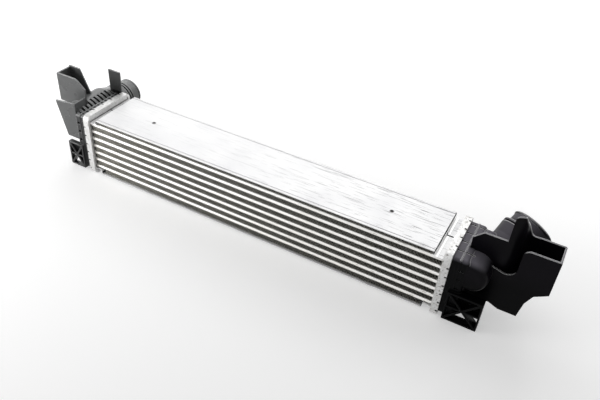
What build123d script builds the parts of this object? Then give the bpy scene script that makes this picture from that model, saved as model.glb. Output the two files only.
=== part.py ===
from build123d import *
import math
import os

# A charge-air cooler: a brazed aluminium core of flat tubes and corrugated fins between two
# header pans, and a moulded tank crimped into each pan. X runs along the core, air crosses it
# along +Y, and Z is up. The origin is the middle of the lower side plate's underside.

# Core
core_length = 620.0
tube_depth = 94.0
tube_height = 6.0
tube_wall = 0.6
tube_count = 7
tube_stub = 1.2
braze_gap = 0.05
fin_height = 8.0
fin_sheet = 0.4
fin_wave = 12.4
fin_inset = 1.0
fin_end_gap = 0.6
turbulator_sheet = 0.3
turbulator_wave = 8.0
turbulator_inset = 3.0

# Side plates
plate_sheet = 1.2
plate_overhang = 2.5
plate_end_step = 14.0
plate_step_run = 3.0
plate_bead_inset = 4.6
plate_bead_width = 1.2
plate_bead_depth = 0.5
plate_hole_x = 214.0
plate_hole_radius = 1.6
plate_slit_y = 2.6
plate_slit_width = 1.8

# Header pans
header_sheet = 1.6
header_overhang = 5.5
header_margin = 3.3
header_corner = 9.0
header_recess = 1.4
header_recess_margin = 2.0
tab_reach = 3.0
tab_notch = 2.8
tab_notch_length = 3.4
tab_pitch_long = 21.2
tab_pitch_short = 16.5
tab_first_y = -5.3
tab_first_z = 2.8

# Gaskets and tank feet
gasket_thickness = 2.2
gasket_width = 3.4
foot_thickness = 4.2
fit_gap = 0.2

# Tanks. From here on X is measured outward from the pan's outer face, and Z from the core's middle.
tank_wall = 3.0
web = 2.5
skirt_length = 26.0
skirt_round = 6.0
ridge_offset = 10.5
ridge_width = 2.2
ridge_height = 0.6
strip_slot_depth = 1.2
rib_slot_depth = 5.0

# Left tank: a barrel along Y whose port sits a little lower
left_barrel_x = 33.0
left_barrel_z = 27.8
left_barrel_radius = 31.5
left_barrel_front_inset = 3.7
left_barrel_end = 34.0
left_barrel_nose_round = 14.0
left_slot_pitch = 9.0
left_slot_width = 4.6
left_slot_end = 27.0
left_slot_rise = 55.8
left_port_z = 23.3
left_port_start = 8.3
left_collar_radius = 28.5
left_collar_end = 36.3
left_port_radius = 23.7
left_port_end = 56.3

# Right tank: a low rounded body with a port turned back, out and up
right_body_x = 11.0
right_body_z = 27.0
right_body_reach = 42.0
right_body_half_height = 24.5
right_body_end_inset = 1.7
right_body_round = 9.0
right_slot_pitch = 21.2
right_slot_width = 1.8
right_slot_end = 25.0
right_slot_rise = 49.3
right_port_x = 80.4
right_port_reach = 33.3
right_port_z = 53.0
right_port_turn = 28.0
right_port_rise = 35.0
right_port_radius = 31.5
right_collar_radius = 37.0
right_neck_length = 18.0
right_collar_length = 23.0
right_elbow_length = 52.0

# Port walls, grooves and end beads
port_wall = 3.0
bead_height = 1.2
bead_width = 3.0
groove_depth = 2.4
groove_width = 2.5

# Brackets with diagonal ribs, each (inner X, outer X, lower Z, upper Z)
bracket_rib = 3.0
bracket_face_inset = 0.5
left_bracket = (12.0, 43.0, -53.2, -7.2)
left_bracket_depth = 8.0
right_bracket = (7.0, 58.0, -56.2, -4.2)
right_bracket_depth = 14.0

# Left baffle plate, scoop and upright tab
baffle_inset = 1.7
baffle_in = 21.0
baffle_out_low = 47.0
baffle_out_high = 64.0
baffle_low = 0.3
baffle_high_out = 63.8
baffle_high_in = 69.8
baffle_stay_low = 10.3
scoop_front = -20.0
scoop_width = 32.0
scoop_in = 20.0
scoop_out = 80.0
scoop_floor = 47.8
scoop_rim = 99.3
scoop_shoulder = 37.0
scoop_shoulder_round = 20.0
scoop_lip = 83.8
scoop_back_rim = 101.3
scoop_back_in = 57.0
scoop_neck_x = 41.0
scoop_neck_z = 64.8
scoop_back_foot = 30.0
upright_inset = 1.7
upright_in = 1.0
upright_out = 26.0
upright_foot = 37.0
upright_top = 94.8

# Right duct: an open trough with a wavy back wall and an ear
duct_front = -20.0
duct_width = 37.0
duct_out = 129.0
duct_root = 1.0
duct_rim = 85.5
duct_rim_round = 10.0
duct_sill_x = 82.0
duct_sill = 30.8
duct_sill_round = 14.0
duct_sill_in = 50.0
duct_sill_hump = 10.0
duct_shelf_in = 60.5
duct_shelf = -21.7
duct_toe_in = 74.5
duct_toe_out = 99.5
duct_toe = -27.7
duct_shin_x = 103.5
duct_shin = -1.2
duct_knee_x = 111.5
duct_knee = 16.8
duct_heel = 27.8
duct_tongue_in = 14.0
duct_tongue_y = 8.0
duct_tongue_rim = 84.8
duct_tongue_cut = 13.0
duct_bend_start = 55.0
duct_bend_end = 97.0
duct_ear_in = 59.0
duct_ear_out = 70.5
duct_ear_top = 126.5
duct_ear_round = 5.0
duct_ear_foot = 85.0

# Sizes that follow
stack_height = tube_count * tube_height + (tube_count + 1) * fin_height
core_height = stack_height + 2 * plate_sheet
core_middle = core_height / 2
header_height = core_height + 2 * header_margin
header_depth = tube_depth + 2 * header_overhang
header_in = core_length / 2
base_out = header_in + header_recess + header_sheet
gasket_out = base_out + gasket_thickness
tab_in = gasket_out + foot_thickness
header_out = tab_in + header_sheet
pan_depth = header_depth - 2 * header_sheet
pan_height = header_height - 2 * header_sheet
pan_corner = header_corner - header_sheet
skirt_cut = tab_reach + fit_gap
skirt_depth = pan_depth - 2 * skirt_cut
skirt_height = pan_height - 2 * skirt_cut
skirt_out = tab_in + skirt_length
skirt_reach = skirt_length - header_sheet
skirt_corner = pan_corner - tab_reach / 2
ridge_in = header_out + ridge_offset
ridge_out = ridge_in + ridge_width
left_throat_radius = left_collar_radius - groove_depth - web
right_throat_radius = right_collar_radius - groove_depth - web
tank_place = Pos(header_out, 0, core_middle)
skirt_top = core_middle + skirt_height / 2
skirt_bottom = core_middle - skirt_height / 2


def tube_level(index):
    return plate_sheet + fin_height + tube_height / 2 + index * (tube_height + fin_height)


def slab(x_low, x_high, depth, height, corner):
    """A rounded rectangle about the core's middle line, drawn out along X."""
    outline = Plane.YZ * Pos(0, core_middle) * RectangleRounded(depth, height, corner)
    return Pos(x_low, 0, 0) * extrude(outline, x_high - x_low)


def block(x_low, x_high, y_low, y_high, z_low, z_high):
    """A square-edged block between six named planes."""
    size = (x_high - x_low, y_high - y_low, z_high - z_low)
    middle = ((x_low + x_high) / 2, (y_low + y_high) / 2, (z_low + z_high) / 2)
    return Pos(*middle) * Box(*size)


def wall_xz(points, y_low, y_high):
    """A flat wall that stands across Y, drawn by its outline in X and Z. A third number rounds a corner."""
    outline = make_face(Polyline(*[point[:2] for point in points], close=True))
    for x, z, radius in [point for point in points if len(point) == 3]:
        corner = outline.vertices().sort_by_distance((x, z))[0]
        outline = fillet(corner, radius)
    return Pos(0, y_low, 0) * extrude(Plane.XZ * outline, y_low - y_high)


def zigzag(length, height, sheet, wave):
    """The outline of a folded strip whose folds just reach height / 2 each way."""
    folds = 2 * round(length / wave)
    run = length / folds
    half = sheet / 2 / math.cos(math.atan2(height, run))
    swing = height / 2 - half
    middle = [(-length / 2 + i * run, swing * (-1) ** i) for i in range(folds + 1)]
    upper = [(x, z + half) for x, z in middle]
    lower = [(x, z - half) for x, z in reversed(middle)]
    return make_face(Polyline(*upper, *lower, close=True))


def turned(profile, axis_plane):
    """A solid turned about the plane's local Y from a profile of (along, radius) points."""
    points = [(radius, along) for along, radius in profile]
    face = make_face(Polyline((0, profile[0][0]), *points, (0, profile[-1][0]), close=True))
    return axis_plane * revolve(face, Axis.Y)


# Core pieces
def tube():
    end = base_out + tube_stub
    outer = Plane.YZ * SlotOverall(tube_depth, tube_height)
    bore = Plane.YZ * SlotOverall(tube_depth - 2 * tube_wall, tube_height - 2 * tube_wall)
    return Pos(-end, 0, 0) * extrude(outer - bore, 2 * end)


def turbulator():
    width = tube_depth - tube_height
    strip = zigzag(width, tube_height - 2 * tube_wall, turbulator_sheet, turbulator_wave)
    end = base_out + tube_stub - turbulator_inset
    return Pos(-end, 0, 0) * extrude(Plane.YZ * strip, 2 * end)


def fin(length):
    strip = zigzag(length, fin_height, fin_sheet, fin_wave)
    depth = tube_depth - 2 * fin_inset
    return Pos(0, -depth / 2, 0) * extrude(Plane.XZ * strip, -depth)


def side_plate():
    """The upper plate: a flat sheet whose ends step down on to the outermost tube."""
    step = header_in - plate_end_step
    foot = step + plate_step_run
    back = plate_sheet * math.tan(math.atan2(fin_height, plate_step_run) / 2)
    low = plate_sheet - fin_height
    right = [(step, plate_sheet), (foot, low), (header_in, low)]
    under = [(header_in, -fin_height), (foot - back, -fin_height), (step - back, 0)]
    half = right + under
    points = half + [(-x, z) for x, z in reversed(half)]
    depth = tube_depth + 2 * plate_overhang
    sheet = wall_xz(points, -depth / 2, depth / 2)
    bead_y = depth / 2 - plate_bead_inset
    for y in (-bead_y, bead_y):
        sheet -= Pos(0, y, plate_sheet) * Box(2 * step, plate_bead_width, 2 * plate_bead_depth)
    for side in (-1, 1):
        sheet -= Pos(side * plate_hole_x, 0, 0) * Cylinder(plate_hole_radius, 4 * plate_sheet)
        slit_middle = side * (step + header_in) / 2
        slit = Box(plate_end_step, plate_slit_width, 4 * fin_height)
        sheet -= Pos(slit_middle, plate_slit_y, 0) * slit
    return Pos(0, 0, core_height - plate_sheet) * sheet


# Header pan, with its rim folded over the tank's foot in tabs
def header_pan():
    pan = slab(header_in, header_out, header_depth, header_height, header_corner)
    pan -= slab(base_out, tab_in, pan_depth, pan_height, pan_corner)
    fold = 2 * tab_reach
    pan -= slab(tab_in, header_out, pan_depth - fold, pan_height - fold, skirt_corner)
    inset = 2 * header_recess_margin
    pan -= slab(header_in, header_in + header_recess, pan_depth - inset, pan_height - inset, pan_corner)
    opening = Plane.YZ * SlotOverall(tube_depth + 2 * braze_gap, tube_height + 2 * braze_gap)
    for index in range(tube_count):
        pan -= Pos(header_in, 0, tube_level(index)) * extrude(opening, base_out - header_in)
    notch_reach = 2 * (tab_reach + header_sheet)
    notch_length = 2 * tab_notch_length
    for y in spread(tab_first_y, tab_pitch_long, header_depth - 2 * header_corner):
        for z in (-header_height / 2, header_height / 2):
            pan -= Pos(header_out, y, core_middle + z) * Box(notch_length, tab_notch, notch_reach)
    for z in spread(tab_first_z, tab_pitch_short, header_height - 2 * header_corner):
        for y in (-header_depth / 2, header_depth / 2):
            pan -= Pos(header_out, y, core_middle + z) * Box(notch_length, notch_reach, tab_notch)
    return pan


def spread(first, pitch, span):
    """Places at one pitch that include the first and stay inside the span about zero."""
    reach = math.ceil(span / pitch)
    places = [first + pitch * i for i in range(-reach, reach + 1)]
    return [place for place in places if abs(place) < span / 2]


def gasket():
    slack = 2 * fit_gap
    inset = 2 * (fit_gap + gasket_width)
    ring = slab(base_out, gasket_out, pan_depth - slack, pan_height - slack, pan_corner - fit_gap)
    ring -= slab(base_out, gasket_out, pan_depth - inset, pan_height - inset, pan_corner - gasket_width)
    return ring


# Tank pieces that both ends share, drawn on the +X side
def tank_base(slot_pitch, slot_width):
    """The foot under the crimp and the skirt, with a low ridge round it and slots between ribs."""
    slack, raised = 2 * fit_gap, 2 * ridge_height
    foot = slab(gasket_out, tab_in, pan_depth - slack, pan_height - slack, pan_corner - fit_gap)
    skirt = slab(tab_in, skirt_out, skirt_depth, skirt_height, skirt_corner)
    skirt = fillet(skirt.faces().sort_by(Axis.X)[-1].edges(), skirt_round)
    ridge = slab(ridge_in, ridge_out, skirt_depth + raised, skirt_height + raised, skirt_corner)
    base = foot + skirt + ridge
    rib_end = skirt_out - skirt_round
    strip_in = header_out + fit_gap
    for y in spread(tab_first_y, slot_pitch, skirt_depth - 2 * skirt_corner):
        low, high = y - slot_width / 2, y + slot_width / 2
        base -= block(strip_in, ridge_in, low, high, skirt_top - strip_slot_depth, header_height)
        base -= block(ridge_out, rib_end, low, high, -header_height, skirt_bottom + rib_slot_depth)
    for z in spread(tab_first_z, tab_pitch_short, skirt_height - 2 * skirt_corner):
        low, high = core_middle + z - slot_width / 2, core_middle + z + slot_width / 2
        for side in (-1, 1):
            inner, outer = skirt_depth / 2 - rib_slot_depth, skirt_depth
            base -= block(ridge_out, rib_end, *sorted((side * inner, side * outer)), low, high)
    return base


def top_slots(slot_pitch, slot_width, slot_end, slot_rise):
    """The gaps between the ribs that run from the ridge up on to the barrel."""
    high = slot_rise + header_depth
    low = skirt_top - rib_slot_depth
    outline = [(ridge_out, low), (slot_end, slot_rise), (slot_end, high), (ridge_out, high)]
    gaps = [wall_xz(outline, y - slot_width / 2, y + slot_width / 2)
            for y in spread(tab_first_y, slot_pitch, skirt_depth - 2 * skirt_corner)]
    return Compound(gaps)


def tank_hollow(barrel_hollow, slot_end, slot_rise):
    """The tank's inside, kept a wall's thickness below the slots in its top."""
    inset = 2 * tank_wall
    deep = inset + 2 * rib_slot_depth
    hollow = slab(gasket_out, ridge_in, skirt_depth - inset, skirt_height - inset, skirt_corner)
    hollow += slab(ridge_in, skirt_out - tank_wall, skirt_depth - deep, skirt_height - deep, skirt_corner)
    ceiling = skirt_top - rib_slot_depth - tank_wall
    high = slot_rise + header_depth
    roof = [(header_in, ceiling), (ridge_out, ceiling), (slot_end, slot_rise - tank_wall), (slot_end, high),
            (header_in, high)]
    return hollow + (barrel_hollow - wall_xz(roof, -skirt_depth, skirt_depth))


def bracket(place, depth):
    """An open frame, its face towards the incoming air, braced by two diagonals and a level rib.
    A wall closes the back of its upper half."""
    x_in, x_out, z_low, z_high = place
    face = bracket_face_inset - header_depth / 2
    back = face + depth
    middle_x, middle_z = (x_in + x_out) / 2, (z_low + z_high) / 2
    frame = block(x_in, x_out, face, back, z_low, z_high)
    frame -= block(x_in + web, x_out - web, face, back, z_low + web, z_high - web)
    rise, run = z_high - z_low - bracket_rib, x_out - x_in - bracket_rib
    tilt = math.degrees(math.atan2(rise, run))
    for angle in (tilt, -tilt):
        bar = Box(math.hypot(rise, run), depth, bracket_rib)
        frame += Pos(middle_x, (face + back) / 2, middle_z) * Rot(0, angle, 0) * bar
    frame += block(x_in, x_out, face, back, middle_z - web / 2, middle_z + web / 2)
    return frame + block(x_in, x_out, back - web, back, middle_z, z_high)


def grooved_port(collar, groove_ends, collar_end, radius, end):
    """The (along, radius) points of a grooved collar and the hose spigot beyond it, with its end bead."""
    profile = []
    for high in groove_ends:
        low = high - groove_width
        root = collar - groove_depth
        profile += [(low, collar), (low, root), (high, root), (high, collar)]
    top, bead_low = radius + bead_height, end - bead_width
    spigot = [(collar_end, collar), (collar_end, radius), (bead_low - bead_height, radius)]
    return profile + spigot + [(bead_low, top), (end - bead_height, top), (end, radius)]


# Left tank
def ring_xz(y, z, radius):
    return Plane(origin=(left_barrel_x, y, z), x_dir=(1, 0, 0), z_dir=(0, 1, 0)) * Circle(radius)


def left_port_plane():
    return Plane(origin=(left_barrel_x, skirt_depth / 2, left_port_z), x_dir=(1, 0, 0), z_dir=(0, 0, 1))


def left_barrel(inset, neck_radius):
    """The round barrel and the neck that drops to the port. An inset gives the hollow inside the wall."""
    front = left_barrel_front_inset - skirt_depth / 2 + inset
    radius = left_barrel_radius - inset
    barrel = extrude(ring_xz(front, left_barrel_z, radius), left_barrel_end - front)
    barrel = fillet(barrel.edges().sort_by(Axis.Y)[0], left_barrel_nose_round - inset)
    neck_end = skirt_depth / 2 + left_port_start
    wide = ring_xz(left_barrel_end, left_barrel_z, radius)
    return barrel + loft([wide.face(), ring_xz(neck_end, left_port_z, neck_radius).face()])


def left_port():
    collar = left_collar_radius
    last = left_collar_end - bead_width
    ends = (last - groove_width - bead_width, last)
    profile = grooved_port(collar, ends, left_collar_end, left_port_radius, left_port_end)
    return turned([(left_port_start, collar)] + profile, left_port_plane())


def left_port_bore():
    """The spigot's bore, and the wider throat inside the collar."""
    bore, throat = left_port_radius - port_wall, left_throat_radius
    step = left_collar_end - port_wall
    profile = [(left_port_start, throat), (step, throat), (step, bore), (left_port_end, bore)]
    return turned(profile, left_port_plane())


def baffle():
    face = baffle_inset - skirt_depth / 2
    outline = [(baffle_in, baffle_low), (baffle_out_low, baffle_low), (baffle_out_high, baffle_high_out),
               (baffle_in, baffle_high_in)]
    plate = wall_xz(outline, face, face + web)
    return plate + block(baffle_in, baffle_in + web, face, scoop_front, baffle_stay_low, baffle_high_in)


def scoop():
    back = scoop_front + scoop_width
    front_outline = [(scoop_out, scoop_floor), (scoop_out, scoop_rim),
                     (scoop_shoulder, scoop_rim, scoop_shoulder_round), (scoop_in, scoop_lip),
                     (scoop_in, scoop_floor)]
    front_wall = wall_xz(front_outline, scoop_front, scoop_front + web)
    back_outline = [(scoop_out, scoop_floor), (scoop_out, scoop_back_rim), (scoop_back_in, scoop_back_rim),
                    (scoop_neck_x, scoop_neck_z), (scoop_back_foot, scoop_floor)]
    back_wall = wall_xz(back_outline, back - web, back)
    outer_wall = block(scoop_out - web, scoop_out, scoop_front, back, scoop_floor, scoop_rim)
    floor = block(left_barrel_x, scoop_out, scoop_front, back, scoop_floor, scoop_floor + web)
    return front_wall + back_wall + outer_wall + floor


def upright_tab():
    front = skirt_depth / 2 - upright_inset
    return block(upright_in, upright_out, front, front + web, upright_foot, upright_top)


def left_tank():
    end, rise = header_out + left_slot_end, core_middle + left_slot_rise
    hollow = left_barrel(tank_wall, left_throat_radius) + left_port_bore()
    tank = tank_base(left_slot_pitch, left_slot_width) + tank_place * left_barrel(0, left_collar_radius)
    tank -= top_slots(left_slot_pitch, left_slot_width, end, rise)
    tank += tank_place * (left_port() + scoop() + baffle() + upright_tab())
    tank += tank_place * bracket(left_bracket, left_bracket_depth)
    tank -= tank_hollow(tank_place * hollow, end, rise)
    return mirror(tank, about=Plane.YZ)


# Right tank
def right_body(inset):
    """The tank's rounded body, which ends in a half round. An inset gives its hollow."""
    outline = Plane.XZ * SlotOverall(2 * (right_body_reach - inset), 2 * (right_body_half_height - inset))
    half_depth = skirt_depth / 2 - right_body_end_inset - inset
    body = Pos(right_body_x, -half_depth, right_body_z) * extrude(outline, -2 * half_depth)
    edges = body.edges().group_by(Axis.Y)
    body = fillet(edges[0] + edges[-1], right_body_round - inset)
    return body & block(-header_sheet, duct_out, -header_depth, header_depth, -header_height, header_height)


def right_port_plane():
    turn, rise = math.radians(right_port_turn), math.radians(right_port_rise)
    along = Vector(math.sin(turn) * math.cos(rise), math.cos(turn) * math.cos(rise), math.sin(rise))
    across = Vector(math.cos(turn), -math.sin(turn), 0)
    mouth = (right_port_x, skirt_depth / 2 + right_port_reach, right_port_z)
    return Plane(origin=mouth, x_dir=across, z_dir=across.cross(along))


def right_port():
    """The port's outside, from the round elbow on the body's rear up to the mouth."""
    elbow = right_throat_radius + port_wall
    plane = right_port_plane()
    root = [(-right_elbow_length, elbow), (-right_neck_length - right_collar_length, elbow)]
    groove_ends = (-right_neck_length - bead_width,)
    profile = grooved_port(right_collar_radius, groove_ends, -right_neck_length, right_port_radius, 0)
    return turned(root + profile, plane) + plane * Pos(0, -right_elbow_length, 0) * Sphere(elbow)


def right_port_bore():
    """The neck's bore, the wider throat below it and the elbow's round hollow."""
    bore, throat = right_port_radius - port_wall, right_throat_radius
    step = -right_neck_length - port_wall
    plane = right_port_plane()
    inside = turned([(-right_elbow_length, throat), (step, throat), (step, bore), (0, bore)], plane)
    return inside + plane * Pos(0, -right_elbow_length, 0) * Sphere(throat)


def duct_bend():
    """The back wall's line in plan: a straight tongue, an S of two equal arcs and a straight end."""
    run = duct_bend_end - duct_bend_start
    rise = duct_width - duct_tongue_y
    sweep = 2 * math.degrees(math.atan2(rise, run))
    radius = run / 2 / math.sin(math.radians(sweep))
    tongue_y = duct_front + duct_tongue_y
    tongue = Line((duct_tongue_in, tongue_y), (duct_bend_start, tongue_y))
    first = JernArc(start=tongue @ 1, tangent=tongue % 1, radius=radius, arc_size=sweep)
    second = JernArc(start=first @ 1, tangent=first % 1, radius=radius, arc_size=-sweep)
    end = Line(second @ 1, (duct_out, duct_front + duct_width))
    return tongue + first + second + end


def duct_lower_edge():
    """The duct's lower edge from inside the skirt out to the heel of its end wall."""
    return [(skirt_reach - duct_root, duct_shelf), (duct_shelf_in, duct_shelf), (duct_toe_in, duct_toe),
            (duct_toe_out, duct_toe), (duct_shin_x, duct_shin), (duct_knee_x, duct_knee),
            (duct_out, duct_heel)]


def duct_back_strip(width):
    """The back wall's line with a width, from the bottom of the duct up to its ear."""
    plan = Pos(0, 0, duct_toe) * trace(duct_bend(), line_width=width)
    return extrude(plan, duct_ear_top - duct_toe)


def duct_room(wall):
    """The space between the duct's front plane and its back wall's line, with that much wall."""
    line = duct_bend()
    rest = Polyline(line @ 1, (duct_out, duct_front), (duct_tongue_in, duct_front), line @ 0)
    plan = make_face(line + rest)
    inside = Pos(0, 0, duct_toe) * extrude(plan, duct_ear_top - duct_toe)
    if wall:
        inside += duct_back_strip(2 * wall)
    back = duct_front + duct_width + wall
    return inside & block(duct_tongue_in, duct_out, duct_front, back, duct_toe, duct_ear_top)


def duct():
    """An open-topped trough: front wall with a low sill, bottom band, end wall and curved back wall."""
    back = duct_front + duct_width
    low = duct_lower_edge()
    high = (duct_out, duct_rim)
    root = skirt_reach - duct_root
    sill = [(duct_sill_x, duct_rim, duct_rim_round), (duct_sill_x, duct_sill, duct_sill_round),
            (duct_sill_in, duct_sill + duct_sill_hump), (root, duct_sill)]
    front_wall = wall_xz(low + [high] + sill, duct_front, duct_front + web)
    ear = [(duct_ear_foot, duct_rim, 2 * duct_ear_round), (duct_ear_out, duct_ear_top, duct_ear_round),
           (duct_ear_in, duct_ear_top, duct_ear_round), (duct_ear_in, duct_tongue_rim)]
    tongue = [(duct_tongue_in + duct_tongue_cut, duct_tongue_rim, duct_ear_round),
              (duct_tongue_in, duct_tongue_rim - duct_tongue_cut), (duct_tongue_in, skirt_height / 2 - web)]
    back_top = [high] + ear + tongue + [(root, skirt_height / 2 - 2 * web)]
    back_wall = duct_back_strip(web) & wall_xz(low + back_top, duct_front, back + web)
    path = Polyline(*low, high)
    band = Pos(0, duct_front, 0) * extrude(Plane.XZ * trace(path, line_width=web), -duct_width)
    return front_wall + back_wall + band


def right_tank():
    end, rise = header_out + right_slot_end, core_middle + right_slot_rise
    tank = tank_base(right_slot_pitch, right_slot_width) + tank_place * right_body(0)
    tank -= top_slots(right_slot_pitch, right_slot_width, end, rise)
    tank += tank_place * (right_port() - duct_room(0))
    tank += tank_place * duct()
    tank += tank_place * bracket(right_bracket, right_bracket_depth)
    tank -= tank_hollow(tank_place * right_body(tank_wall), end, rise)
    return tank - tank_place * (right_port_bore() - duct_room(web))


def save(name, shape):
    """Write one part. A part that comes out in several pieces is written whole, and its line says so."""
    solids = shape.clean().solids()
    print(name, "solids", len(solids), "volume", round(sum(s.volume for s in solids) / 1000, 1), "cm3")
    whole = solids[0] if len(solids) == 1 else Compound(children=list(solids))
    export_step(whole, f"parts/{name}.step")


os.makedirs("parts", exist_ok=True)

one_tube, one_turbulator = tube(), turbulator()
for index in range(tube_count):
    save(f"tube_{index + 1}", Pos(0, 0, tube_level(index)) * one_tube)
    save(f"turbulator_{index + 1}", Pos(0, 0, tube_level(index)) * one_turbulator)

full_fin = fin(core_length - 2 * fin_end_gap)
end_fin = fin(core_length - 2 * (plate_end_step + plate_sheet + fin_end_gap))
for index in range(tube_count + 1):
    level = plate_sheet + fin_height / 2 + index * (tube_height + fin_height)
    layer = end_fin if index in (0, tube_count) else full_fin
    save(f"fin_{index + 1}", Pos(0, 0, level) * layer)

upper_plate = side_plate()
save("side_plate_top", upper_plate)
save("side_plate_bottom", mirror(upper_plate, about=Plane.XY.offset(core_middle)))

right_pan, right_gasket = header_pan(), gasket()
save("header_right", right_pan)
save("header_left", mirror(right_pan, about=Plane.YZ))
save("gasket_right", right_gasket)
save("gasket_left", mirror(right_gasket, about=Plane.YZ))
save("end_tank_right", right_tank())
save("end_tank_left", left_tank())
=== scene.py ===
# %% [markdown]
# # A charge-air cooler, dressed for a studio photograph
# The cooler arrives as a finished CAD model of thirty parts in one frame: X runs along the core, air
# crosses it along +Y, and Z is up, all in metres. The shapes and sizes are settled there. This lesson
# gives each part the finish that its real metal or plastic has, puts fine fins where the CAD model
# has coarse ones, and sets up the floor, the light and the camera.

# %% Load the CAD model
import math

import bpy
from mathutils import Matrix, Vector


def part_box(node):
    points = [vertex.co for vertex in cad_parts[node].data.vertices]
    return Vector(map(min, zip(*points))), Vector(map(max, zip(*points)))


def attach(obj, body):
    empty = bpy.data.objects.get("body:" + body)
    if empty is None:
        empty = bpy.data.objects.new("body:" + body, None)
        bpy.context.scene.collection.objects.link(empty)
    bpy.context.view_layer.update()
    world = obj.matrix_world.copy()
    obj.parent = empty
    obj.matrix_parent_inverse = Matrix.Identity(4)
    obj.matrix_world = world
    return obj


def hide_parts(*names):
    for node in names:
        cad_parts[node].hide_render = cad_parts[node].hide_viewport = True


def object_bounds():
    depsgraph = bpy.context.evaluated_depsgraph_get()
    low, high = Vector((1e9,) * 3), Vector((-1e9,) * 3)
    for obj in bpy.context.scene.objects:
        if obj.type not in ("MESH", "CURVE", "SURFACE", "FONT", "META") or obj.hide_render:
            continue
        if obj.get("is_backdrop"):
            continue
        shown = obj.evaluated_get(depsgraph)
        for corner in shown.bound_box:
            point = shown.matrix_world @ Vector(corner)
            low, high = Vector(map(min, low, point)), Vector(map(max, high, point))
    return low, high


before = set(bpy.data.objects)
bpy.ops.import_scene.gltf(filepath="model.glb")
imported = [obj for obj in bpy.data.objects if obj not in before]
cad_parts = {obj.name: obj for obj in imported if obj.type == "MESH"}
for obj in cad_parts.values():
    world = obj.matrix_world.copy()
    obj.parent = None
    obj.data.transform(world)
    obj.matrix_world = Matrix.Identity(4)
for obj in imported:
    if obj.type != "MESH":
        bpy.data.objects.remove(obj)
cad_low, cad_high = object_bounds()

MM = 0.001
print(len(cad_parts), "CAD parts, from", [round(v, 4) for v in cad_low],
      "to", [round(v, 4) for v in cad_high])

# %% [markdown]
# ## Helpers for materials
# A colour picked from a chart is sRGB, while Blender's shaders work in linear light, so one
# function turns the first into the second. A material is a tree of nodes. One more function adds a
# node, and tells by the value whether a socket gets a plain number or another node's output. Patterns
# read the part's own coordinates, which are metres here, so a pattern's scale follows from a real
# size in millimetres.
#
# A Mix node has sockets for numbers, vectors and colours side by side, with the same names. Those for
# colours can only be told by their places, so the places get names here.

# %% Colours, nodes and pattern scales
MIX_SHARE = 0
MIX_FROM = 6
MIX_TO = 7
MIXED = 2


def linear(hex_colour):
    """The linear colour, with full alpha, of an sRGB hex code such as #8a8f94."""
    parts = [int(hex_colour[start:start + 2], 16) / 255 for start in (1, 3, 5)]
    return [p / 12.92 if p <= 0.04045 else ((p + 0.055) / 1.055) ** 2.4 for p in parts] + [1.0]


def add_node(tree, kind, sockets=None, **settings):
    """Add a node, make its settings, and fill its sockets with plain values or nodes' outputs."""
    node = tree.nodes.new(kind)
    for setting, value in settings.items():
        setattr(node, setting, value)
    for socket, value in (sockets or {}).items():
        if isinstance(value, bpy.types.NodeSocket):
            tree.links.new(value, node.inputs[socket])
        else:
            node.inputs[socket].default_value = value
    return node


def per_metre(size_mm):
    """The pattern scale at which one spot or wave of it is this many millimetres across."""
    return 1 / (size_mm * MM)


def new_material(name, **sockets):
    """A material with one Principled shader and these plain values. Underscores are spaces."""
    material = bpy.data.materials.new(name)
    material.use_nodes = True
    shader = material.node_tree.nodes["Principled BSDF"]
    for socket, value in sockets.items():
        shader.inputs[socket.replace("_", " ")].default_value = value
    return material, material.node_tree, shader


print("linear value of sRGB #808080:", round(linear("#808080")[0], 4))

# %% [markdown]
# ## Painted shade in the corners
# Plastic and metal alike get painted shade, a near-black colour, in their narrow corners. An Ambient
# Occlusion node finds these: it tells how open a point is, from 0 to 1, within a few millimetres of it.
# Six rays from each point are enough for that, as the picture's own samples smooth the result.

# %% Painted shade in corners
CORNER_DEPTH = 5.0
RAYS = 6
# The colour of painted shade in narrow corners.
CORNER_SHADE = "#050505"


def with_corner_shade(tree, colour, openness, begins, full):
    """The colour, turned to painted shade where the openness falls from one value to the other."""
    narrow = add_node(tree, "ShaderNodeMapRange", {"Value": openness, "From Min": begins,
                                                   "From Max": full})
    shaded_corner = add_node(tree, "ShaderNodeMix", {MIX_SHARE: narrow.outputs["Result"],
                                             MIX_FROM: colour,
                                             MIX_TO: linear(CORNER_SHADE)}, data_type="RGBA")
    return shaded_corner.outputs[MIXED]


print("grime fills corners narrower than", CORNER_DEPTH, "mm")

# %% [markdown]
# ## Age and painted shade on moulded nylon
# Both tanks are injection-moulded nylon with about a third of glass fibre, dyed black. From a certain
# height upwards the left tank is chalky grey, partly from age and partly as painted glare, and the
# right one holds a little dust with painted sheen. Lower down, and on the front of each skirt up to its
# top, both keep a darker colour, which is painted shade. A mask is a value between 0 and 1 that says
# how much of a finish a point gets. This one follows the height and the way that the surface faces,
# whose part along Y is -1 on a face that looks to the front.

# %% A mask for the aged area above the painted shade, with sizes in mm
HEIGHT_FADE = 16
SKIRT_X = 342
SKIRT_FADE = 1
SKIRT_TOP = 112
FACES_FRONT = -0.7
FRONT_ENDS = -0.4


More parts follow.
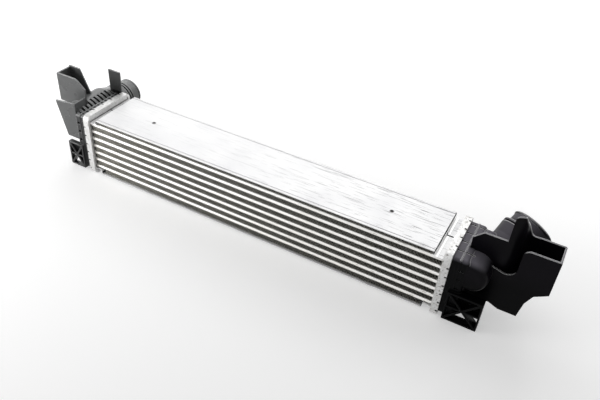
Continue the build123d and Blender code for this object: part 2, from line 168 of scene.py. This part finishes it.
def aged_and_unshaded_area(tree, spot, facing, unshaded_above):
    """Where age shows: above a height, but not on the lower front of the skirt. Elsewhere lies painted
    shade.
    """
    risen = add_node(tree, "ShaderNodeMapRange", {"Value": spot.outputs["Z"],
                                                  "From Min": unshaded_above * MM,
                                                  "From Max": (unshaded_above + HEIGHT_FADE) * MM})
    side = add_node(tree, "ShaderNodeMath", {0: spot.outputs["X"]}, operation="ABSOLUTE")
    past_skirt = add_node(tree, "ShaderNodeMapRange", {"Value": side.outputs["Value"],
                                                       "From Min": (SKIRT_X - SKIRT_FADE) * MM,
                                                       "From Max": (SKIRT_X + SKIRT_FADE) * MM})
    above_skirt = add_node(tree, "ShaderNodeMath", {0: spot.outputs["Z"], 1: SKIRT_TOP * MM},
                           operation="GREATER_THAN")
    not_front = add_node(tree, "ShaderNodeMapRange", {"Value": facing.outputs["Y"],
                                                      "From Min": FACES_FRONT,
                                                      "From Max": FRONT_ENDS})
    clear = past_skirt.outputs[0]
    for other in (above_skirt, not_front):
        clear = add_node(tree, "ShaderNodeMath", {0: clear, 1: other.outputs[0]},
                         operation="MAXIMUM").outputs[0]
    return add_node(tree, "ShaderNodeMath", {0: risen.outputs[0], 1: clear},
                    operation="MULTIPLY").outputs[0]


print("age fades in over", HEIGHT_FADE, "mm of height")

# %% [markdown]
# ## Dust and painted sheen on moulded nylon
# Faces that look up, whose direction has a part along Z near 1, get a paler colour, and the more they
# do, the more of it. It is partly dust and partly painted sheen. It never hides the nylon fully, and it
# begins somewhat higher than the age.

# %% A mask for dust and painted sheen, with sizes in mm
DUST_SHEEN_RISE = 26
DUST_SHEEN_TILT = 0.35
DUST_SHEEN_MOST = 0.9


def dust_and_painted_sheen(tree, spot, facing, unshaded_above):
    """Where dust and painted sheen lie: on faces that look up, and higher than where the age begins."""
    upward = add_node(tree, "ShaderNodeMapRange", {"Value": facing.outputs["Z"],
                                                   "From Min": DUST_SHEEN_TILT, "To Max": DUST_SHEEN_MOST})
    dust_sheen_above = unshaded_above + DUST_SHEEN_RISE
    high = add_node(tree, "ShaderNodeMapRange", {"Value": spot.outputs["Z"],
                                                 "From Min": dust_sheen_above * MM,
                                                 "From Max": (dust_sheen_above + HEIGHT_FADE / 2) * MM})
    return add_node(tree, "ShaderNodeMath", {0: upward.outputs[0], 1: high.outputs[0]},
                    operation="MULTIPLY").outputs[0]


print("dust begins", DUST_SHEEN_RISE, "mm higher than the age")

# %% [markdown]
# ## Painted highlights on the edges of moulded nylon
# Such a part has no sharp edge: its small rounds catch the light as thin lines, which are painted on
# in a paler colour as a painted highlight. A Bevel node rounds the shading there without one more face
# in the mesh. Where its direction leaves the face's own, and the product of the two falls below 1,
# there is an edge. Only edges that point up into open air get the painted highlight.

# %% A mask for the painted edge highlights
EDGE_BEGINS = 0.995
EDGE_FULL = 0.93
UP_BEGINS = 0.3
UP_FULL = 0.7
OPEN_BEGINS = 0.7
OPEN_FULL = 0.95


def painted_edge_highlights(tree, rounded, facing, openness, aged_unshaded):
    """Where edges get a painted highlight: on rounds that point up into open air, where age shows."""
    face = add_node(tree, "ShaderNodeNewGeometry")
    likeness = add_node(tree, "ShaderNodeVectorMath", {0: rounded, 1: face.outputs["Normal"]},
                        operation="DOT_PRODUCT")
    edge = add_node(tree, "ShaderNodeMapRange", {"Value": likeness.outputs["Value"],
                                                 "From Min": EDGE_BEGINS, "From Max": EDGE_FULL})
    upward = add_node(tree, "ShaderNodeMapRange", {"Value": facing.outputs["Z"],
                                                   "From Min": UP_BEGINS, "From Max": UP_FULL})
    highlight = add_node(tree, "ShaderNodeMapRange", {"Value": openness, "From Min": OPEN_BEGINS,
                                                "From Max": OPEN_FULL}).outputs[0]
    for mask in (edge.outputs[0], upward.outputs[0], aged_unshaded):
        highlight = add_node(tree, "ShaderNodeMath", {0: highlight, 1: mask}, operation="MULTIPLY").outputs[0]
    return highlight


print("edges are fully rubbed", round(math.degrees(math.acos(EDGE_FULL))), "degrees off their face")

# %% [markdown]
# ## Moulded glass-filled nylon
# The fibre leaves the nylon's surface dull rather than glossy, with cloudy flow marks a few centimetres
# across, and the mould's spark-eroded steel gives it a grain of about 0.4 mm. The colours lie over each
# other: dye and flow marks with painted shade lower down, then dust with painted sheen, painted
# highlights on the edges, and painted shade in the corners. The chalky grey is partly painted glare.
# The black tank is nearly without gloss, and the chalky one has a little more.

# %% Black and chalky nylon, sizes in mm
EDGE_ROUND = 1.8
FLOW_MARK = 38
GRAIN = 1.1
GRAIN_DEPTH = 0.06
DULLNESS_SPREAD = 0.08


def moulded_nylon(name, low, body, cloud, dust_sheen, highlighted, unshaded_above, dullness, shine):
    """Nylon of colour low, which is painted shade, up to a height, and above it of body and cloud, with
    dust and painted sheen and painted edge highlights.
    """
    material, tree, shader = new_material(name, IOR=1.53, Specular_IOR_Level=shine)
    place = add_node(tree, "ShaderNodeTexCoord").outputs["Object"]
    spot = add_node(tree, "ShaderNodeSeparateXYZ", {"Vector": place})
    rounded = add_node(tree, "ShaderNodeBevel", {"Radius": EDGE_ROUND * MM},
                       samples=RAYS).outputs["Normal"]
    facing = add_node(tree, "ShaderNodeSeparateXYZ", {"Vector": rounded})
    openness = add_node(tree, "ShaderNodeAmbientOcclusion", {"Distance": CORNER_DEPTH * MM},
                        samples=RAYS).outputs["AO"]
    aged_unshaded = aged_and_unshaded_area(tree, spot, facing, unshaded_above)
    dust_and_sheen = dust_and_painted_sheen(tree, spot, facing, unshaded_above)
    highlight = painted_edge_highlights(tree, rounded, facing, openness, aged_unshaded)
    flow = add_node(tree, "ShaderNodeTexNoise", {"Vector": place, "Scale": per_metre(FLOW_MARK),
                                                 "Detail": 4.0})

    dyed = add_node(tree, "ShaderNodeMix", {MIX_SHARE: flow.outputs["Fac"], MIX_FROM: linear(body),
                                            MIX_TO: linear(cloud)}, data_type="RGBA")
    # Lower down, and on the lower front of the skirt, the low colour is painted shade.
    low_shaded = add_node(tree, "ShaderNodeMix", {MIX_SHARE: aged_unshaded, MIX_FROM: linear(low),
                                             MIX_TO: dyed.outputs[MIXED]}, data_type="RGBA")
    # Faces that look up get a paler colour, partly dust and partly painted sheen.
    dust_sheened = add_node(tree, "ShaderNodeMix", {MIX_SHARE: dust_and_sheen, MIX_FROM: low_shaded.outputs[MIXED],
                                               MIX_TO: linear(dust_sheen)}, data_type="RGBA")
    # Edges that point up into open air get a painted highlight.
    edge_lit = add_node(tree, "ShaderNodeMix", {MIX_SHARE: highlight, MIX_FROM: dust_sheened.outputs[MIXED],
                                            MIX_TO: linear(highlighted)}, data_type="RGBA")
    # Narrow corners get painted shade.
    colour = with_corner_shade(tree, edge_lit.outputs[MIXED], openness, begins=0.6, full=0.25)
    tree.links.new(colour, shader.inputs["Base Color"])

    dull = add_node(tree, "ShaderNodeMapRange", {"Value": flow.outputs["Fac"],
                                                 "To Min": dullness - DULLNESS_SPREAD,
                                                 "To Max": dullness + DULLNESS_SPREAD})
    tree.links.new(dull.outputs["Result"], shader.inputs["Roughness"])
    # The real grain of 0.4 mm is finer than a pixel, so it is drawn coarser, as GRAIN says.
    grain = add_node(tree, "ShaderNodeTexNoise", {"Vector": place, "Scale": per_metre(GRAIN),
                                                  "Detail": 2.0})
    relief = add_node(tree, "ShaderNodeBump", {"Height": grain.outputs["Fac"], "Normal": rounded,
                                               "Strength": 0.2, "Distance": GRAIN_DEPTH * MM})
    tree.links.new(relief.outputs["Normal"], shader.inputs["Normal"])
    return material


# On both tanks the low colour is painted shade, the dust colour is partly dust and partly painted
# sheen, and the edge colour is a painted highlight. The chalky tank's body and cloud colours are partly
# its own aged surface and partly painted glare.
black_nylon = moulded_nylon("moulded_black_nylon", low="#020203", body="#050506", cloud="#0f0c12",
                            dust_sheen="#747179", highlighted="#ffffff", unshaded_above=70, dullness=0.36,
                            shine=0.06)
chalky_glare_nylon = moulded_nylon("moulded_chalky_nylon_painted_glare", low="#232324", body="#4e4f4f", cloud="#606161",
                             dust_sheen="#868787", highlighted="#c8caca", unshaded_above=40, dullness=0.28,
                             shine=0.35)
print("made", black_nylon.name, "and", chalky_glare_nylon.name)

# %% [markdown]
# ## Brazed aluminium
# The core is brazed in an oven: plates, pans, tubes and fins are clad sheet that is wetted with flux,
# and they come out as one piece with a matt, almost white skin. One recipe serves the three visible
# kinds of sheet. Its skin has soft clouds of dried flux, and marks on top of them, which are stretched
# noise of which only the highest spots are kept: long dashes on the plates and tubes, which were
# rolled or drawn in that direction, and short blotches on the pans. The marks get denser towards the
# right end. Dried flux is matt, so the metallic share is lower than that of bare metal.

# %% Rolled, pressed and drawn aluminium, sizes in mm
CLOUDS_BEGIN = 0.35
CLOUDS_FULL = 0.65
MARKS_FEW_X = -100
MARKS_FULL_X = 250
FEW_MARKS = 0.15
MARK_FADE = 0.05
MARK_RELIEF = 0.08
SHEET_ROUND = 0.4
SMOOTHER = 0.08
ROUGHER = 0.1


def brazed_aluminium(name, skin, flux, mark, roughness, mark_mm, cloud_mm, keep):
    """Sheet as it leaves the oven. mark_mm is a mark's length and width, keep the noise that marks."""
    material, tree, shader = new_material(name, Metallic=0.6)
    place = add_node(tree, "ShaderNodeTexCoord").outputs["Object"]
    clouds = add_node(tree, "ShaderNodeTexNoise", {"Vector": place, "Scale": per_metre(cloud_mm),
                                                   "Detail": 4.0})
    cloudy = add_node(tree, "ShaderNodeMapRange", {"Value": clouds.outputs["Fac"],
                                                   "From Min": CLOUDS_BEGIN,
                                                   "From Max": CLOUDS_FULL})
    length, width = mark_mm
    stretch = (per_metre(length), per_metre(width), per_metre(width))
    rolled = add_node(tree, "ShaderNodeMapping", {"Vector": place, "Scale": stretch})
    spots = add_node(tree, "ShaderNodeTexNoise", {"Vector": rolled.outputs["Vector"], "Scale": 1.0,
                                                  "Detail": 3.0, "Distortion": 0.4})
    marks = add_node(tree, "ShaderNodeMapRange", {"Value": spots.outputs["Fac"], "From Min": keep,
                                                  "From Max": keep + MARK_FADE})
    along = add_node(tree, "ShaderNodeSeparateXYZ", {"Vector": place})
    rightward = add_node(tree, "ShaderNodeMapRange", {"Value": along.outputs["X"],
                                                    "From Min": MARKS_FEW_X * MM,
                                                    "From Max": MARKS_FULL_X * MM,
                                                    "To Min": FEW_MARKS})
    marked = add_node(tree, "ShaderNodeMath", {0: marks.outputs["Result"],
                                               1: rightward.outputs["Result"]}, operation="MULTIPLY")

    sheet = add_node(tree, "ShaderNodeMix", {MIX_SHARE: cloudy.outputs["Result"],
                                             MIX_FROM: linear(skin),
                                             MIX_TO: linear(flux)}, data_type="RGBA")
    streaky = add_node(tree, "ShaderNodeMix", {MIX_SHARE: marked.outputs["Value"],
                                               MIX_FROM: sheet.outputs[MIXED],
                                               MIX_TO: linear(mark)}, data_type="RGBA")
    # Narrow corners get painted shade.
    corners = add_node(tree, "ShaderNodeAmbientOcclusion", {"Distance": CORNER_DEPTH * MM},
                       samples=RAYS)
    colour = with_corner_shade(tree, streaky.outputs[MIXED], corners.outputs["AO"], begins=0.55, full=0.2)
    tree.links.new(colour, shader.inputs["Base Color"])

    dull = add_node(tree, "ShaderNodeMapRange", {"Value": clouds.outputs["Fac"],
                                                 "To Min": roughness - SMOOTHER,
                                                 "To Max": roughness + ROUGHER})
    tree.links.new(dull.outputs["Result"], shader.inputs["Roughness"])
    edges = add_node(tree, "ShaderNodeBevel", {"Radius": SHEET_ROUND * MM}, samples=4)
    relief = add_node(tree, "ShaderNodeBump", {"Height": spots.outputs["Fac"],
                                               "Normal": edges.outputs["Normal"],
                                               "Strength": 0.3, "Distance": MARK_RELIEF * MM})
    tree.links.new(relief.outputs["Normal"], shader.inputs["Normal"])
    return material


rolled_plate = brazed_aluminium("rolled_side_plate_aluminium", skin="#dcdcdc", flux="#d9d9da",
                                mark="#5c5c5e", roughness=0.55, mark_mm=(40, 1.2), cloud_mm=60,
                                keep=0.61)
pressed_pan = brazed_aluminium("pressed_header_pan_aluminium", skin="#dfdfdf", flux="#cecdcb",
                               mark="#8c8b86", roughness=0.5, mark_mm=(2.5, 2.5), cloud_mm=5,
                               keep=0.6)
drawn_tube = brazed_aluminium("drawn_tube_aluminium", skin="#fdfcfa", flux="#f5f3ef",
                              mark="#b8b4ac", roughness=0.55, mark_mm=(16, 1.5), cloud_mm=60,
                              keep=0.62)
print("made", rolled_plate.name, pressed_pan.name, drawn_tube.name)

# %% [markdown]
# ## Painted light and shade on the side plates
# The plates get painted shade: a dark spot round each small hole and on each end slit, and a dark
# line where each end folds down. On the upper plate, the slope below that line gets painted light in
# pure white. Both ends have them at the same distance from the middle, so they are drawn with X taken
# without its sign, and the upper plate is told from the lower one by its height. The marks lie over
# the finish that the plates already have.

# %% Holes, slits, folds and slopes, in mm
HOLE_X = 214
HOLE_SHADE_INNER = 2.2
HOLE_SHADE_OUTER = 4.0
FOLD_X = 296.3
FOLD_WIDTH = 1.2
SLOPE_X = 299.2
SLOPE_WIDTH = 4.6
PLATE_MIDDLE_Z = 50
SLIT_X = 304
SLIT_Y = 2.6
SLIT_LENGTH = 13
SLIT_WIDTH = 2.6
PAINTED_SHADE_DARK = "#333334"
PAINTED_LIGHT_WHITE = "#ffffff"


def paint_plate_light_and_shade(material):
    """Lay painted shade and painted light over the colour that the material has so far."""
    tree = material.node_tree
    base = tree.nodes["Principled BSDF"].inputs["Base Color"]
    place = add_node(tree, "ShaderNodeTexCoord").outputs["Object"]
    spot = add_node(tree, "ShaderNodeSeparateXYZ", {"Vector": place})
    side = add_node(tree, "ShaderNodeMath", {0: spot.outputs["X"]}, operation="ABSOLUTE")
    x, y = side.outputs["Value"], spot.outputs["Y"]
    bands = {}
    for band, way, middle, width in (("fold", x, FOLD_X, FOLD_WIDTH),
                                     ("slope", x, SLOPE_X, SLOPE_WIDTH),
                                     ("slit_along", x, SLIT_X, SLIT_LENGTH),
                                     ("slit_across", y, SLIT_Y, SLIT_WIDTH)):
        bands[band] = add_node(tree, "ShaderNodeMath", {0: way, 1: middle * MM, 2: width / 2 * MM},
                               operation="COMPARE").outputs["Value"]
    plan = add_node(tree, "ShaderNodeCombineXYZ", {"X": x, "Y": y})
    hole = add_node(tree, "ShaderNodeVectorMath", {0: plan.outputs["Vector"],
                                                   1: (HOLE_X * MM, 0, 0)}, operation="DISTANCE")
    hole_shade = add_node(tree, "ShaderNodeMapRange", {"Value": hole.outputs["Value"],
                                                  "From Min": HOLE_SHADE_OUTER * MM,
                                                  "From Max": HOLE_SHADE_INNER * MM})
    slit = add_node(tree, "ShaderNodeMath", {0: bands["slit_along"], 1: bands["slit_across"]},
                    operation="MULTIPLY")
    lines = add_node(tree, "ShaderNodeMath", {0: slit.outputs["Value"], 1: bands["fold"]},
                     operation="MAXIMUM")
    marks = add_node(tree, "ShaderNodeMath", {0: hole_shade.outputs["Result"],
                                              1: lines.outputs["Value"]}, operation="MAXIMUM")
    on_top = add_node(tree, "ShaderNodeMath", {0: spot.outputs["Z"], 1: PLATE_MIDDLE_Z * MM},
                      operation="GREATER_THAN")
    slope = add_node(tree, "ShaderNodeMath", {0: bands["slope"], 1: on_top.outputs["Value"]},
                     operation="MULTIPLY")
    # The slope of the upper plate is painted white, a painted light.
    slope_lit = add_node(tree, "ShaderNodeMix", {MIX_SHARE: slope.outputs["Value"],
                                              MIX_FROM: base.links[0].from_socket,
                                              MIX_TO: linear(PAINTED_LIGHT_WHITE)}, data_type="RGBA")
    # Holes, slits and folds get dark painted shade.
    colour = add_node(tree, "ShaderNodeMix", {MIX_SHARE: marks.outputs["Value"],
                                              MIX_FROM: slope_lit.outputs[MIXED],
                                              MIX_TO: linear(PAINTED_SHADE_DARK)}, data_type="RGBA")
    tree.links.new(colour.outputs[MIXED], base)


paint_plate_light_and_shade(rolled_plate)
print("marked holes at", HOLE_X, "mm, folds at", FOLD_X, "mm and slits at", SLIT_X,
      "mm from the middle")

# %% [markdown]
# ## Fin foil
# The fins are foil of about 0.1 mm, folded by gears into a wave and cut into louvres that turn the air.
# The louvres lie about 1.2 mm apart across the depth. They are left out of the mesh, because nobody
# sees into the folds that far, and a wave pattern on the foil's relief gives their fine lines. The foil
# darkens evenly from the left end to the right end, which is painted shade.

# %% Bright foil with louvre lines, sizes in mm
CORE_HALF = 300
LOUVRE_PITCH = 1.2
LOUVRE_DEPTH = 0.2
FOIL_PATCH = 12
FOIL_DARK, FOIL_LIGHT, RIGHT_END_SHADE = "#dfddd6", "#faf8f1", "#96948d"


def louvred_foil():
    """Bright foil with soft patches, darkened by painted shade from one end of the core to the other.
    """
    material, tree, shader = new_material("louvred_fin_foil_aluminium", Metallic=1.0, Roughness=0.4)
    place = add_node(tree, "ShaderNodeTexCoord").outputs["Object"]
    # Real louvres are too fine to show. A Wave texture has a band in every 2 pi / 20 of its scaled
    # coordinate, so this scale draws them twice as coarse, about 2.4 mm apart.
    waves = add_node(tree, "ShaderNodeTexWave", {"Vector": place,
                                                 "Scale": per_metre(LOUVRE_PITCH) / (2 * math.pi)},
                     bands_direction="Y")
    patches = add_node(tree, "ShaderNodeTexNoise", {"Vector": place, "Scale": per_metre(FOIL_PATCH)})
    patchy = add_node(tree, "ShaderNodeMix", {MIX_SHARE: patches.outputs["Fac"],
                                             MIX_FROM: linear(FOIL_DARK),
                                             MIX_TO: linear(FOIL_LIGHT)}, data_type="RGBA")
    along = add_node(tree, "ShaderNodeSeparateXYZ", {"Vector": place})
    shaded_rightward = add_node(tree, "ShaderNodeMapRange", {"Value": along.outputs["X"],
                                                   "From Min": -CORE_HALF * MM,
                                                   "From Max": CORE_HALF * MM})
    # Painted shade darkens the foil towards the right end.
    colour = add_node(tree, "ShaderNodeMix", {MIX_SHARE: shaded_rightward.outputs["Result"],
                                              MIX_FROM: patchy.outputs[MIXED],
                                              MIX_TO: linear(RIGHT_END_SHADE)}, data_type="RGBA")
    tree.links.new(colour.outputs[MIXED], shader.inputs["Base Color"])
    relief = add_node(tree, "ShaderNodeBump", {"Height": waves.outputs["Fac"], "Strength": 0.5,
                                               "Distance": LOUVRE_DEPTH * MM})
    tree.links.new(relief.outputs["Normal"], shader.inputs["Normal"])
    return material


foil = louvred_foil()
print("made", foil.name)

# %% [markdown]
# ## Gasket rubber
# A ring of black EPDM rubber lies between each tank's foot and its pan. Nearly all of it is hidden by
# the crimp. Moulded rubber is matt, a little browner than the nylon, with a fine bloom.

# %% Black rubber, sizes in mm
BLOOM_SPOT = 2.5


def gasket_rubber():
    """Matt black rubber with small cloudy spots of bloom."""
    material, tree, shader = new_material("moulded_gasket_rubber", IOR=1.52, Roughness=0.8)
    place = add_node(tree, "ShaderNodeTexCoord").outputs["Object"]
    bloom = add_node(tree, "ShaderNodeTexNoise", {"Vector": place, "Scale": per_metre(BLOOM_SPOT),
                                                  "Detail": 3.0})
    colour = add_node(tree, "ShaderNodeMix", {MIX_SHARE: bloom.outputs["Fac"],
                                              MIX_FROM: linear("#151416"),
                                              MIX_TO: linear("#2c2a29")}, data_type="RGBA")
    tree.links.new(colour.outputs[MIXED], shader.inputs["Base Color"])
    return material


rubber = gasket_rubber()
print("made", rubber.name)

# %% [markdown]
# ## A finish on every CAD part
# The parts that repeat are numbered, so the start of a part's name says what it is made of. Only the
# material slots change, never the meshes.

# %% Assign the finishes
finishes = {
    "tube": drawn_tube,
    "turbulator": foil,
    "fin": foil,
    "side_plate": rolled_plate,
    "header": pressed_pan,
    "gasket": rubber,
    "end_tank_left": chalky_glare_nylon,
    "end_tank_right": black_nylon,
}
for name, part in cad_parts.items():
    start = next(start for start in finishes if name.startswith(start))
    part.data.materials.clear()
    part.data.materials.append(finishes[start])
print("finished", len(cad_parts), "CAD parts")

# %% [markdown]
# ## Fine fins
# Each fin layer is one long strip of foil in a wave of 4 mm from crest to crest. The CAD model has a
# coarser wave that fills the same space, which keeps its collision shapes few. Here each strip is built
# point by point along its middle line, with three points round every crest, and is then given a
# thickness on both sides of that line. The foil is drawn 0.24 mm thick instead of 0.1 mm, or its edges
# would fade between the pixels. It stops just short of the tubes, so that no two faces coincide.

# %% Fold the strips
FIN_PITCH = 4.0 * MM
FOIL = 0.24 * MM
BRAZE_GAP = 0.02 * MM
CREST_RUN = 0.22
CREST_SHOULDER = 0.9


def fin_line(low, high):
    """The strip's middle line in X and Z: straight runs between crests rounded by three points."""
    folds = 2 * round((high.x - low.x) / FIN_PITCH)
    run = (high.x - low.x) / folds
    middle = (low.z + high.z) / 2
    swing = (high.z - low.z) / 2 - FOIL / 2 - BRAZE_GAP
    crest = ((-CREST_RUN, CREST_SHOULDER), (0, 1.0), (CREST_RUN, CREST_SHOULDER))
    points = []
    for fold in range(folds):
        side = 1 if fold % 2 else -1
        crest_x = low.x + (fold + 0.5) * run
        for offset, height in crest:
            points.append(Vector((crest_x + offset * run, middle + side * height * swing)))
    return points


def fin_strip(name, low, high):
    """One folded strip of foil between two corners, as a closed mesh."""
    line = fin_line(low, high)
    vertices, faces = [], []
    for index, point in enumerate(line):
        before, after = line[max(index - 1, 0)], line[min(index + 1, len(line) - 1)]
        along = (after - before).normalized()
        normal = Vector((-along.y, along.x)) * FOIL / 2
        for spot in (point + normal, point - normal):
            vertices += [(spot.x, low.y, spot.y), (spot.x, high.y, spot.y)]
    for index in range(len(line) - 1):
        a, b = 4 * index, 4 * index + 4
        faces += [(a, b, b + 1, a + 1), (a + 2, a + 3, b + 3, b + 2)]
        faces += [(a, a + 2, b + 2, b), (a + 1, b + 1, b + 3, a + 3)]
    last = 4 * (len(line) - 1)
    faces += [(0, 1, 3, 2), (last, last + 2, last + 3, last + 1)]
    mesh = bpy.data.meshes.new(name)
    mesh.from_pydata(vertices, [], faces)
    mesh.materials.append(foil)
    strip = bpy.data.objects.new(name, mesh)
    bpy.context.scene.collection.objects.link(strip)
    return strip


fin_names = sorted(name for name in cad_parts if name.startswith("fin_"))
for name in fin_names:
    strip = fin_strip("fine_" + name, *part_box(name))
    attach(strip, "root")
    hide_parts(name)
print("folded", len(fin_names), "strips of", len(strip.data.polygons), "faces each")

# %% [markdown]
# ## What is seen and what is lit
# Floor and walls have two tasks here: they light the cooler gently, and they are the white that is
# seen round it. A Light Path node tells the two apart. A ray that comes from the camera, from a
# reflection or through something clear is one that sees, and every other ray only carries light.

# %% Rays that see
def seeing_rays(tree):
    """1 for rays from the camera, in reflections and through clear things, and 0 for others."""
    rays = add_node(tree, "ShaderNodeLightPath")
    seen = rays.outputs["Is Camera Ray"]
    for kind in ("Is Glossy Ray", "Is Transmission Ray"):
        seen = add_node(tree, "ShaderNodeMath", {0: seen, 1: rays.outputs[kind]},
                        operation="MAXIMUM").outputs["Value"]
    return seen


WHITE = linear("#ffffff")
print("white that is seen:", WHITE)

# %% [markdown]
# ## Floor
# The cooler lies on a seamless studio floor, a plain matt sheet far larger than the view, and its soft
# shadow falls there. The sheet is light grey, and where it is seen, a glow lifts it, which leaves the
# lighting of the cooler alone. The glow is weaker towards the front right, as in the photograph, and
# grows to pure white away from the cooler.

# %% White floor, with distances in metres and a slant in degrees
FLOOR_HALF = 6.0
FLOOR_SLANT = -30
FRONT_Y = -0.4
BACK_Y = 0.5
LIFT_FRONT = 0.32
LIFT_BACK = 0.55
WHITE_FROM = 0.7
WHITE_AT = 1.7


def floor_paper():
    """Matt grey paper with a glow that only seeing rays get."""
    material, tree, shader = new_material("matt_white_floor_sheet", Roughness=0.9,
                                          Specular_IOR_Level=0.1, Emission_Color=WHITE)
    shader.inputs["Base Color"].default_value = linear("#e6e6e6")
    place = add_node(tree, "ShaderNodeTexCoord").outputs["Object"]
    slanted = add_node(tree, "ShaderNodeVectorRotate", {"Vector": place,
                                                        "Angle": math.radians(FLOOR_SLANT)},
                       rotation_type="Z_AXIS")
    depth = add_node(tree, "ShaderNodeSeparateXYZ", {"Vector": slanted.outputs["Vector"]})
    # The glow is weaker towards the front right, which is a painted shadow on the floor.
    painted_shadow_glow = add_node(tree, "ShaderNodeMapRange", {"Value": depth.outputs["Y"],
                                                 "From Min": FRONT_Y, "From Max": BACK_Y,
                                                 "To Min": LIFT_FRONT, "To Max": LIFT_BACK})
    away = add_node(tree, "ShaderNodeVectorMath", {0: place}, operation="LENGTH")
    far = add_node(tree, "ShaderNodeMapRange", {"Value": away.outputs["Value"],
                                                "From Min": WHITE_FROM, "From Max": WHITE_AT},
                   interpolation_type="SMOOTHSTEP")
    glow = add_node(tree, "ShaderNodeMath", {0: painted_shadow_glow.outputs["Result"], 1: far.outputs["Result"]},
                    operation="ADD")
    lift = add_node(tree, "ShaderNodeMath", {0: seeing_rays(tree), 1: glow.outputs["Value"]},
                    operation="MULTIPLY")
    tree.links.new(lift.outputs["Value"], shader.inputs["Emission Strength"])
    return material


h, z = FLOOR_HALF, cad_low.z
floor_mesh = bpy.data.meshes.new("floor")
floor_mesh.from_pydata([(-h, -h, z), (h, -h, z), (h, h, z), (-h, h, z)], [], [(0, 1, 2, 3)])
floor_mesh.materials.append(floor_paper())
floor = bpy.data.objects.new("floor", floor_mesh)
bpy.context.scene.collection.objects.link(floor)
floor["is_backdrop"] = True
print("floor at", round(z / MM, 1), "mm")

# %% [markdown]
# ## Light
# The photograph is lit by a very large soft light above and behind the left end. A small one behind the
# right half brightens the plate there, one at the left reaches the tube noses and the chalky tank, and
# one at the right reaches the faces that look that way. White walls fill in the rest, and the far
# background is pure white. The world stands for the walls: it lights matt surfaces gently, and is plain
# white where it is seen.

# %% World and lamps
WALL_LIGHT = 0.31


def white_room():
    """A world of white walls that are seen brighter than they light."""
    world = bpy.data.worlds.new("white_room")
    world.use_nodes = True
    tree = world.node_tree
    tree.nodes.clear()
    fill = add_node(tree, "ShaderNodeBackground", {"Color": WHITE, "Strength": WALL_LIGHT})
    seen = add_node(tree, "ShaderNodeBackground", {"Color": WHITE, "Strength": 1.0})
    walls = add_node(tree, "ShaderNodeMixShader", {0: seeing_rays(tree),
                                                   1: fill.outputs["Background"],
                                                   2: seen.outputs["Background"]})
    add_node(tree, "ShaderNodeOutputWorld", {"Surface": walls.outputs["Shader"]})
    bpy.context.scene.world = world


def soft_box(name, place, aim, size, watts):
    """A square area lamp that faces a point."""
    lamp = bpy.data.lights.new(name, "AREA")
    lamp.size = size
    lamp.energy = watts
    holder = bpy.data.objects.new(name, lamp)
    holder.location = place
    turn = (Vector(aim) - Vector(place)).to_track_quat("-Z", "Y")
    holder.rotation_euler = turn.to_euler()
    bpy.context.scene.collection.objects.link(holder)


white_room()
soft_box("key", place=(-0.8, 1.6, 1.5), aim=(0, 0, 0.05), size=2.3, watts=23.5)
soft_box("back_strip", place=(0.35, 1.3, 1.15), aim=(0.35, 0, 0.1), size=0.4, watts=2)
soft_box("left_fill", place=(-1.15, -0.75, 0.3), aim=(-0.35, 0, 0.06), size=0.7, watts=12.5)
soft_box("right_fill", place=(1.5, 0.9, 0.55), aim=(0.0, 0, 0.1), size=0.8, watts=5.5)
print("world and four lamps ready")

# %% [markdown]
# ## Camera
# A camera fitted to the photograph stands in front of the right end, 0.9 m from it, and looks down by
# 38 degrees with a slight roll. Two of its axes say which way it faces, the one to its right and the
# one upwards, and the third, back towards the viewer, follows from them.

# %% Camera at the photograph's viewpoint, in metres, with sensor and lens in mm
CAMERA_PLACE = Vector((0.4116, -0.7282, 0.6904))
CAMERA_RIGHT = Vector((0.8784, 0.4734, 0.0660))
CAMERA_UP = Vector((-0.3372, 0.5159, 0.7875))
SENSOR_WIDTH = 36.0
LENS = 39.2

camera_data = bpy.data.cameras.new("photograph_view")
camera_data.sensor_width = SENSOR_WIDTH
camera_data.lens = LENS
camera = bpy.data.objects.new("photograph_view", camera_data)
camera_back = CAMERA_RIGHT.cross(CAMERA_UP)
turn = Matrix((CAMERA_RIGHT, CAMERA_UP, camera_back)).transposed()
camera.matrix_world = Matrix.Translation(CAMERA_PLACE) @ turn.to_4x4()
bpy.context.scene.collection.objects.link(camera)
bpy.context.scene.camera = camera
bpy.context.scene.view_settings.view_transform = "Standard"
print("camera looks down by", round(math.degrees(math.asin(camera_back.z)), 1), "degrees")

# %% [markdown]
# ## Close
# The dressed cooler has to fill the same box as the CAD model, so the two boxes are compared here,
# and the largest change between them is printed.

# %% Compare both boxes and finish
seen_low, seen_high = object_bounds()
change = max((cad_low - seen_low).length, (cad_high - seen_high).length)
print("largest change of the box:", round(change / MM, 3), "mm")
